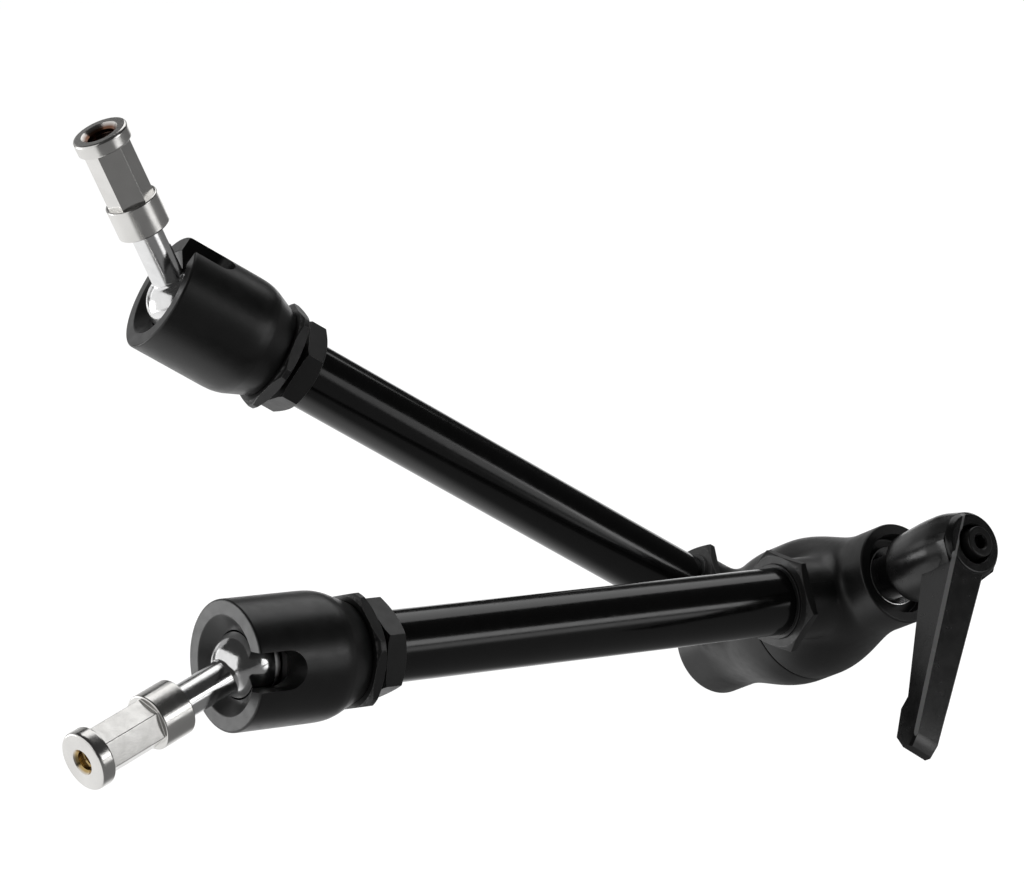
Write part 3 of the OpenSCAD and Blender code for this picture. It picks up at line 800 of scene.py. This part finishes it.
def make_boss_slab(turn):
    slab = hex_bar("boss_slab", BOSS_AF, BOSS_REACH - SLAB_LEN, BOSS_REACH, turn)
    corner_r = BOSS_AF / math.sqrt(3) + 0.1
    blank = turned("blank", [(corner_r, BOSS_REACH - SLAB_LEN - 0.01), (corner_r, BOSS_REACH - 1.15),
                             (13.1, BOSS_REACH + 0.01)], sides=144)
    combine(slab, blank, "INTERSECT")
    collar = turned("collar", rounded([(10.5, BOSS_REACH - 1, 0), (COLLAR_R, BOSS_REACH - 1, 0),
                                       (COLLAR_R, COLLAR_TOP, 0.3), (10.5, COLLAR_TOP, 0)]))
    combine(slab, collar, "UNION")
    tidy_mesh(slab)
    break_edges(slab, 0.14)
    return move_mesh(slab, ALONG_ARM)


def make_knuckle(name, edge, turn, recessed):
    knuckle = turned(name, knuckle_rings(edge), sides=240)
    draw_out_boss(knuckle)
    combine(knuckle, make_boss_slab(turn), "UNION")
    socket = move_mesh(round_bar("socket", TUBE_R + 0.05, TUBE_START, COLLAR_TOP + 2), ALONG_ARM)
    combine(knuckle, socket, "DIFFERENCE")
    rod_bore = move_mesh(round_bar("rod_bore", ROD_BORE_R, 0, TUBE_START + 1, sides=48), ALONG_ARM)
    combine(knuckle, rod_bore, "DIFFERENCE")
    low = -HALF_OFFSET - 1
    if recessed:
        top = [(WEDGE_BORE_R, RECESS_FLOOR, 0), (RECESS_R, RECESS_FLOOR, 0.8),
               (RECESS_R, KNUCKLE_LEN - HALF_OFFSET, 0.4), (RECESS_R + 1.5, KNUCKLE_LEN - HALF_OFFSET + 1, 0)]
    else:
        top = [(WEDGE_BORE_R, 20.05, 0), (10.05, 20.05, 0.3),
               (10.05, KNUCKLE_LEN - HALF_OFFSET, 0.3), (11, KNUCKLE_LEN - HALF_OFFSET + 1, 0)]
    bore = turned("bore", rounded([(CONE_BORE_R, low, 0), (CONE_BORE_R, WEB_START, 0),
                                   (WEDGE_BORE_R, WEB_START, 0)] + top))
    combine(knuckle, bore, "DIFFERENCE")
    return tidy_mesh(knuckle, flat=0.1)


lay(make_knuckle("front_knuckle_cast", 0.6, 30, True), "front_elbow", "lower_arm", "casting_black",
    CASTING_BLACK, "front_knuckle")
lay(make_knuckle("rear_knuckle_cast", 1.2, 0, False), "rear_elbow", "upper_arm", "casting_black",
    CASTING_BLACK, "rear_knuckle")

# %% [markdown]
# The rear casting is closed by a turned plug, and a bright thrust washer lies in the front recess under the
# lever's insert. Of the washer only a crescent is seen.

# %% Plug and washer
plug_edge = KNUCKLE_LEN - HALF_OFFSET
plug = turned("rear_plug_turned", rounded([(9.6, plug_edge - 2.2, 0), (10.0, plug_edge - 2.2, 0),
                                           (10.0, plug_edge, 0.35), (7.4, plug_edge, 0.2),
                                           (7.0, plug_edge - 0.35, 0.2), (2.0, plug_edge - 0.35, 0)]))
lay(plug, "rear_elbow", "upper_arm", "plug_black", NUT_BLACK, "rear_plug")

WASHER_LOW = 17.8
WASHER_HIGH = 19.4
washer = turned("washer_polished", rounded([(5.05, WASHER_LOW, 0.2), (9.0, WASHER_LOW, 0.35),
                                            (9.0, WASHER_HIGH, 0.45), (5.05, WASHER_HIGH, 0.2)],
                                           closed=True), closed=True)
lay(washer, "front_elbow", "clamp_wedge", "washer_chrome", CHROME, "thrust_washer")

# %% [markdown]
# ## The lever
# The ratchet lever is a die-cast handle: a hub that stands off the casting, and an arm that thins towards a
# hooked tip. The arm starts as one block, which is extruded section by section along its reach and scaled to
# each section's width and height. Its long outer edges get a wider bevel than the others, and the finish
# carries a painted highlight there, which is the light line in the photograph. Hub, root and arm are then
# joined.

# %% Lever arm
HUB_START = 27.0
HUB_END = 54.8
LEVER_TOP = HUB_END - 0.4
LONG_BEVEL = 0.8
ARM_SECTIONS = [  # reach, width, low, high
    (4.0, 12.0, 40.4, LEVER_TOP),
    (51.0, 9.6, 47.3, LEVER_TOP),
    (54.4, 9.3, 45.3, LEVER_TOP),
    (63.6, 8.8, 46.1, LEVER_TOP),
    (67.5, 8.2, 49.8, 52.8),
]


def make_lever_arm():
    """A block grown along x through the sections."""
    bpy.ops.object.select_all(action="DESELECT")
    bpy.ops.mesh.primitive_plane_add(size=1)
    arm = new_piece("lever_arm")
    reach, width, low, high = ARM_SECTIONS[0]
    stand = Matrix.Rotation(math.radians(90), 4, "Y")
    flat = Matrix.Diagonal((1, width * MM, (high - low) * MM, 1))
    move_mesh(arm, Matrix.Translation((reach * MM, 0, (low + high) / 2 * MM)) @ flat @ stand)
    bpy.ops.object.mode_set(mode="EDIT")
    bpy.ops.mesh.select_all(action="SELECT")
    for before, after in zip(ARM_SECTIONS, ARM_SECTIONS[1:]):
        r0, w0, l0, h0 = before
        r1, w1, l1, h1 = after
        mid0, mid1 = (l0 + h0) / 2 * MM, (l1 + h1) / 2 * MM
        bpy.ops.mesh.extrude_region_move(
            TRANSFORM_OT_translate={"value": ((r1 - r0) * MM, 0, mid1 - mid0)})
        bpy.ops.transform.resize(value=(1, w1 / w0, (h1 - l1) / (h0 - l0)),
                                 center_override=(r1 * MM, 0, mid1))
    bpy.ops.mesh.select_all(action="SELECT")
    bpy.ops.mesh.normals_make_consistent(inside=False)
    bpy.ops.object.mode_set(mode="OBJECT")
    return arm


def bevel_long_edges(arm, width):
    """Bevels the two outer long edges, which run along the top of the arm."""
    select_only(arm)
    bpy.ops.object.mode_set(mode="EDIT")
    bpy.ops.mesh.select_all(action="DESELECT")
    bpy.ops.object.mode_set(mode="OBJECT")
    mesh = arm.data
    for edge in mesh.edges:
        a, b = (mesh.vertices[i].co for i in edge.vertices)
        along = abs(a.x - b.x) > 1 * MM
        outer = min(a.z, b.z) > 52 * MM
        edge.select = along and outer
    bpy.context.tool_settings.mesh_select_mode = (False, True, False)
    bpy.ops.object.mode_set(mode="EDIT")
    bpy.ops.mesh.bevel(offset=width * MM, segments=1, offset_type="OFFSET")
    bpy.ops.mesh.select_all(action="SELECT")
    bpy.ops.mesh.remove_doubles(threshold=1e-6)
    bpy.ops.object.mode_set(mode="OBJECT")
    bpy.context.tool_settings.mesh_select_mode = (True, False, False)


# %% Lever hub and root
HUB_PROFILE = [(9.2, HUB_START, 0.0), (9.75, HUB_START, 0.4), (10.2, HUB_START + 0.6, 0.5),
               (11.3, 39.8, 3.0), (11.3, 45.8, 2.0), (10.7, 48.8, 1.5), (10.1, 51.4, 1.0), (9.64, 53.4, 0.4),
               (8.6, HUB_END, 0.4), (6.2, HUB_END, 0.0)]
ROOT_OUTLINE = [(0, -9.7), (3.5, -9.7), (8.9, -6.0), (8.9, 6.0), (3.5, 9.7), (0, 9.7)]
ROOT_LOW = 40.8
ROOT_HIGH = 52.9


def make_root():
    """The wedge that carries the hub's width over into the arm, extruded from its outline."""
    bpy.ops.object.select_all(action="DESELECT")
    bpy.ops.mesh.primitive_circle_add(vertices=len(ROOT_OUTLINE), radius=5 * MM, fill_type="NGON")
    root = new_piece("lever_root")
    for vertex, (x, y) in zip(root.data.vertices, ROOT_OUTLINE):
        vertex.co = (x * MM, y * MM, ROOT_LOW * MM)
    bpy.ops.object.mode_set(mode="EDIT")
    bpy.ops.mesh.select_all(action="SELECT")
    bpy.ops.mesh.extrude_region_move(
        TRANSFORM_OT_translate={"value": (0, 0, (ROOT_HIGH - ROOT_LOW) * MM)})
    bpy.ops.mesh.select_all(action="SELECT")
    bpy.ops.mesh.normals_make_consistent(inside=False)
    bpy.ops.object.mode_set(mode="OBJECT")
    return root


def make_lever():
    arm = make_lever_arm()
    bevel_long_edges(arm, LONG_BEVEL)
    lever = turned("lever_cast", rounded(HUB_PROFILE, steps=4), sides=120)
    combine(lever, make_root(), "UNION")
    combine(lever, arm, "UNION")
    tidy_mesh(lever, flat=0.3)
    break_edges(lever, 0.22, segments=3, angle=25)
    mouth = turned("mouth", rounded([(8.3, HUB_START - 1, 0), (8.3, 33.0, 0), (8.15, 33.0, 0),
                                     (8.15, 37.6, 0), (2.8, 37.6, 0), (2.8, 41.6, 0), (5.7, 41.6, 0),
                                     (5.7, HUB_END - 0.3, 0), (6.05, HUB_END, 0), (6.9, HUB_END + 0.9, 0)]))
    combine(lever, mouth, "DIFFERENCE")
    move_mesh(lever, Matrix.Rotation(math.radians(LEVER_ANGLE), 4, "Z"))
    return tidy_mesh(lever, flat=0.1)


lay(make_lever(), "front_elbow", "lever", "lever_black", LEVER_BLACK, "lever_handle")

# %% [markdown]
# The lever is held by a socket screw in its hub: a round head with a hexagonal hole, and a dark gap round it
# so that the lever can be lifted against its spring.

# %% Screw
SCREW_TOP = 57.2
SCREW_HEAD_R = 4.5
SCREW_KEY = 4.0


def make_screw():
    screw = turned("socket_screw", rounded([(2.0, 31.8, 0), (2.5, 32.3, 0), (2.5, 51.8, 0),
                                            (SCREW_HEAD_R, 51.8, 0.15), (SCREW_HEAD_R, SCREW_TOP, 0.55),
                                            (2.6, SCREW_TOP, 0)], steps=4))
    combine(screw, hex_bar("key", SCREW_KEY, SCREW_TOP - 3, SCREW_TOP + 1), "DIFFERENCE")
    countersink = turned("countersink", [(1.6, SCREW_TOP - 0.9), (2.9, SCREW_TOP + 0.4)])
    combine(screw, countersink, "DIFFERENCE")
    return tidy_mesh(screw)


lay(make_screw(), "front_elbow", "clamp_screw", "screw_black", SCREW_BLACK, "lever_screw")

# %% [markdown]
# ## Ball studs
# A ball stud is one turned piece: the ball, a neck that leaves it in a tight fillet, and a pin that the
# spigot is pressed on. The ball's rings are spaced by angle, so its outline is round everywhere.

# %% Ball studs
NECK_R_STUD = 4.7
STUD_START = 25.0
SHANK_R = 4.0
SHANK_END = 36.0
NECK_FILLET = 1.6


def make_ball_stud(name):
    fillet_r = NECK_R_STUD + NECK_FILLET
    fillet_z = math.sqrt((BALL_R + NECK_FILLET) ** 2 - fillet_r ** 2)
    meet = math.atan2(fillet_z, fillet_r)
    rings = []
    for step in range(45):
        angle = math.radians(-88) + (meet + math.radians(88)) * step / 44
        rings.append((BALL_R * math.cos(angle), BALL_R * math.sin(angle)))
    for step in range(1, 9):
        angle = math.pi + meet + (0 - meet) * step / 8
        rings.append((fillet_r + NECK_FILLET * math.cos(angle), fillet_z + NECK_FILLET * math.sin(angle)))
    rings += [(NECK_R_STUD, STUD_START - 0.1), (SHANK_R, STUD_START + 0.1), (SHANK_R, SHANK_END)]
    return turned(name, rings, sides=128)


lower_stud = make_ball_stud("lower_ball_turned")
upper_stud = copy_piece(lower_stud, "upper_ball_turned")
lay(lower_stud, "lower_stud", "lower_ball", "ball_chrome", CHROME, "lower_ball_stud")
lay(upper_stud, "upper_stud", "upper_ball", "ball_chrome", CHROME, "upper_ball_stud")

# %% [markdown]
# ## Spigots
# The spigot is the standard stud of studio gear: a round collar, a hexagon that can't turn in its socket, and
# a round head behind which the socket's screw catches. A tapped hole opens in the head. The three forms are
# joined, the edges broken, and the hole is cut last with a tool that carries the thread's ridges.

# %% Spigots
COLLAR_STUD_R = 7.65
HEX_START = 34.6
HEX_AF = 11.7
HEAD_START = 52.3
HEAD_R = 8.0
TIP = 56.5
TAP_DEPTH = 12.0


def make_spigot(name, turn, tap_r, major_r, pitch, sink_r):
    spigot = turned(name, rounded([(6.8, STUD_START, 0), (COLLAR_STUD_R, STUD_START, 0.5),
                                   (COLLAR_STUD_R, HEX_START, 0.5), (6.4, HEX_START, 0)], steps=4))
    hexagon = hex_bar("hexagon", HEX_AF, HEX_START - 1, HEAD_START + 1, turn)
    combine(spigot, hexagon, "UNION")
    head = turned("head", rounded([(7.0, HEAD_START, 0), (HEAD_R, HEAD_START, 0.7), (HEAD_R, TIP, 1.1),
                                   (6.4, TIP, 0)], steps=6))
    combine(spigot, head, "UNION")
    tidy_mesh(spigot, flat=0.2)
    break_edges(spigot, 0.22, segments=3)
    base = TIP - TAP_DEPTH
    sink = sink_r - tap_r
    rings = [(tap_r, base)] + thread_rings(major_r, tap_r, base + 0.1, TIP - sink - 0.2, pitch)
    rings += [(tap_r, TIP - sink), (sink_r, TIP), (sink_r + 1, TIP + 1)]
    combine(spigot, turned("tap", rings, sides=72), "DIFFERENCE")
    combine(spigot, round_bar("bore", SHANK_R + 0.05, STUD_START - 1, SHANK_END + 0.3, sides=64),
            "DIFFERENCE")
    return tidy_mesh(spigot, flat=0.1)


lay(make_spigot("lower_spigot_plated", -1.6, 2.6, 3.17, 1.27, 3.5), "lower_stud", "lower_stud",
    "stud_nickel", LOWER_NICKEL, "lower_spigot")
lay(make_spigot("upper_spigot_plated", 3.3, 4.0, 4.7, 1.59, 5.4), "upper_stud", "upper_stud",
    "stud_nickel", UPPER_NICKEL, "upper_spigot")

# %% [markdown]
# ## Floor and light
# The arm is held by its lower stud, so the floor lies under its lowest point and nothing touches it. The
# photograph's background is pure white, but if black gloss reflected that white it would turn grey. A Light
# Path node tells the two apart: the camera sees white paper, and reflections see a dim studio in which the
# soft boxes shine. For reflections the floor glows as painted light: bright on the side of the studs and in
# one spot in front of them, which is what whitens the nickel, and dim under the black castings.

# %% Floor
FLOOR_CLEARANCE = 0.12
FLOOR_SIZE = 30.0
CAMERA_RIGHT = camera.matrix_world.to_3x3() @ Vector((1, 0, 0))
CAMERA_UP = camera.matrix_world.to_3x3() @ Vector((0, 1, 0))
CAMERA_BACK = camera.matrix_world.to_3x3() @ Vector((0, 0, 1))
FLOOR_LIT_SIDE = (Vector((-CAMERA_RIGHT.x, -CAMERA_RIGHT.y, 0)).normalized()
                  + 0.45 * Vector((-CAMERA_BACK.x, -CAMERA_BACK.y, 0)).normalized()).normalized()


def floor_point(start, direction):
    """Where a ray from a point in a direction (right, up, back) of the camera meets the floor."""
    right, up, back = direction
    ray = CAMERA_RIGHT * right + CAMERA_UP * up + CAMERA_BACK * back
    return start + ray * ((CAD_BOX[0][2] - FLOOR_CLEARANCE - start.z) / ray.z)


SPIGOT_MIDDLE = PLACES["lower_stud"] @ Vector((0, 0, 45 * MM))
FLOOR_SPOT = floor_point(SPIGOT_MIDDLE, (0.98, -0.04, 0.2))
SPOT_RADIUS = 0.24


def make_floor():
    bpy.ops.object.select_all(action="DESELECT")
    bpy.ops.mesh.primitive_plane_add(
        size=FLOOR_SIZE, location=(0, 0, CAD_BOX[0][2] - FLOOR_CLEARANCE))
    floor = new_piece("floor")
    glowing_paper = bpy.data.materials.new("glowing_paper")
    glowing_paper.use_nodes = True
    tree = glowing_paper.node_tree
    shader = tree.nodes["Principled BSDF"]
    shader.inputs["Base Color"].default_value = (0.12, 0.12, 0.12, 1)
    shader.inputs["Roughness"].default_value = 0.9
    shader.inputs["Specular IOR Level"].default_value = 0.1
    shader.inputs["Emission Color"].default_value = (1, 1, 1, 1)
    where = add_node(tree, "ShaderNodeTexCoord")
    # Painted light: for reflections the floor glows brighter on the studs' side and in one spot in front of
    # them.
    along = add_node(tree, "ShaderNodeVectorMath", operation="DOT_PRODUCT",
                     links=[(0, where.outputs["Object"]), (1, FLOOR_LIT_SIDE)])
    lit = add_node(tree, "ShaderNodeMapRange", interpolation_type="SMOOTHSTEP",
                   links=[("Value", along.outputs["Value"]), ("From Min", -0.03), ("From Max", 0.11),
                          ("To Min", 0.13), ("To Max", 0.85)])
    from_spot = add_node(tree, "ShaderNodeVectorMath", operation="DISTANCE",
                         links=[(0, where.outputs["Object"]), (1, (FLOOR_SPOT.x, FLOOR_SPOT.y, 0))])
    spot = add_node(tree, "ShaderNodeMapRange", interpolation_type="SMOOTHSTEP",
                    links=[("Value", from_spot.outputs["Value"]), ("From Min", SPOT_RADIUS * 1.4),
                           ("From Max", SPOT_RADIUS * 0.6), ("To Max", 1.25)])
    brighter = add_node(tree, "ShaderNodeMath", operation="MAXIMUM",
                        links=[(0, lit.outputs["Result"]), (1, spot.outputs["Result"])])
    rays = add_node(tree, "ShaderNodeLightPath")
    glow = add_node(tree, "ShaderNodeMapRange",
                    [("Value", rays.outputs["Is Camera Ray"]), ("To Min", brighter.outputs[0]),
                     ("To Max", 1.0)])
    tree.links.new(glow.outputs["Result"], shader.inputs["Emission Strength"])
    floor.data.materials.append(glowing_paper)
    return floor


make_floor()

# %% Lights
MIDDLE = (ELBOW + LOWER_BALL + UPPER_BALL) / 3


def softbox(name, direction, width, height, glow, distance=1.5):
    """A soft box in a direction (right, up, back) of the camera, facing the middle of the arm. Its glow is
    the brightness of its cloth, so a mirror shows it with that value. Sizes are in metres."""
    data = bpy.data.lights.new(name, "AREA")
    data.shape = "RECTANGLE"
    data.size = width
    data.size_y = height
    data.energy = glow * math.pi * width * height
    light = bpy.data.objects.new(name, data)
    right, up, back = direction
    outwards = (CAMERA_RIGHT * right + CAMERA_UP * up + CAMERA_BACK * back).normalized()
    sideways = CAMERA_UP.cross(outwards).normalized()
    upright = outwards.cross(sideways)
    facing = Matrix((sideways, upright, outwards)).transposed().to_4x4()
    light.matrix_world = Matrix.Translation(MIDDLE + outwards * distance) @ facing
    light.visible_camera = False
    bpy.context.scene.collection.objects.link(light)
    return light


SOFTBOXES = [
    softbox("right_box", (0.95, 0.03, 0.26), 0.5, 0.65, 2.6),
    softbox("right_front_box", (0.86, 0.08, 0.50), 0.45, 0.65, 1.1),
    softbox("top_box", (0.14, 0.91, -0.38), 1.3, 1.25, 1.25),
    softbox("left_box", (-0.96, -0.07, -0.27), 0.8, 0.45, 2.6),
    softbox("left_wall", (-0.92, 0.08, 0.30), 3.2, 1.4, 0.85),
    softbox("back_left_wall", (-0.62, 0.47, -0.63), 1.3, 0.9, 0.35),
    softbox("back_wall", (-0.12, 0.22, -0.96), 2.4, 0.7, 0.4),
]

world = bpy.data.worlds.new("studio")
bpy.context.scene.world = world
world.use_nodes = True
sky = world.node_tree
background = sky.nodes["Background"]
background.inputs["Color"].default_value = (1, 1, 1, 1)
rays = add_node(sky, "ShaderNodeLightPath")
glow = add_node(sky, "ShaderNodeMapRange",
                [("Value", rays.outputs["Is Camera Ray"]), ("To Min", 0.035), ("To Max", 1.0)])
sky.links.new(glow.outputs["Result"], background.inputs["Strength"])
bpy.context.scene.view_settings.view_transform = "Standard"
print("lights:", len(SOFTBOXES))
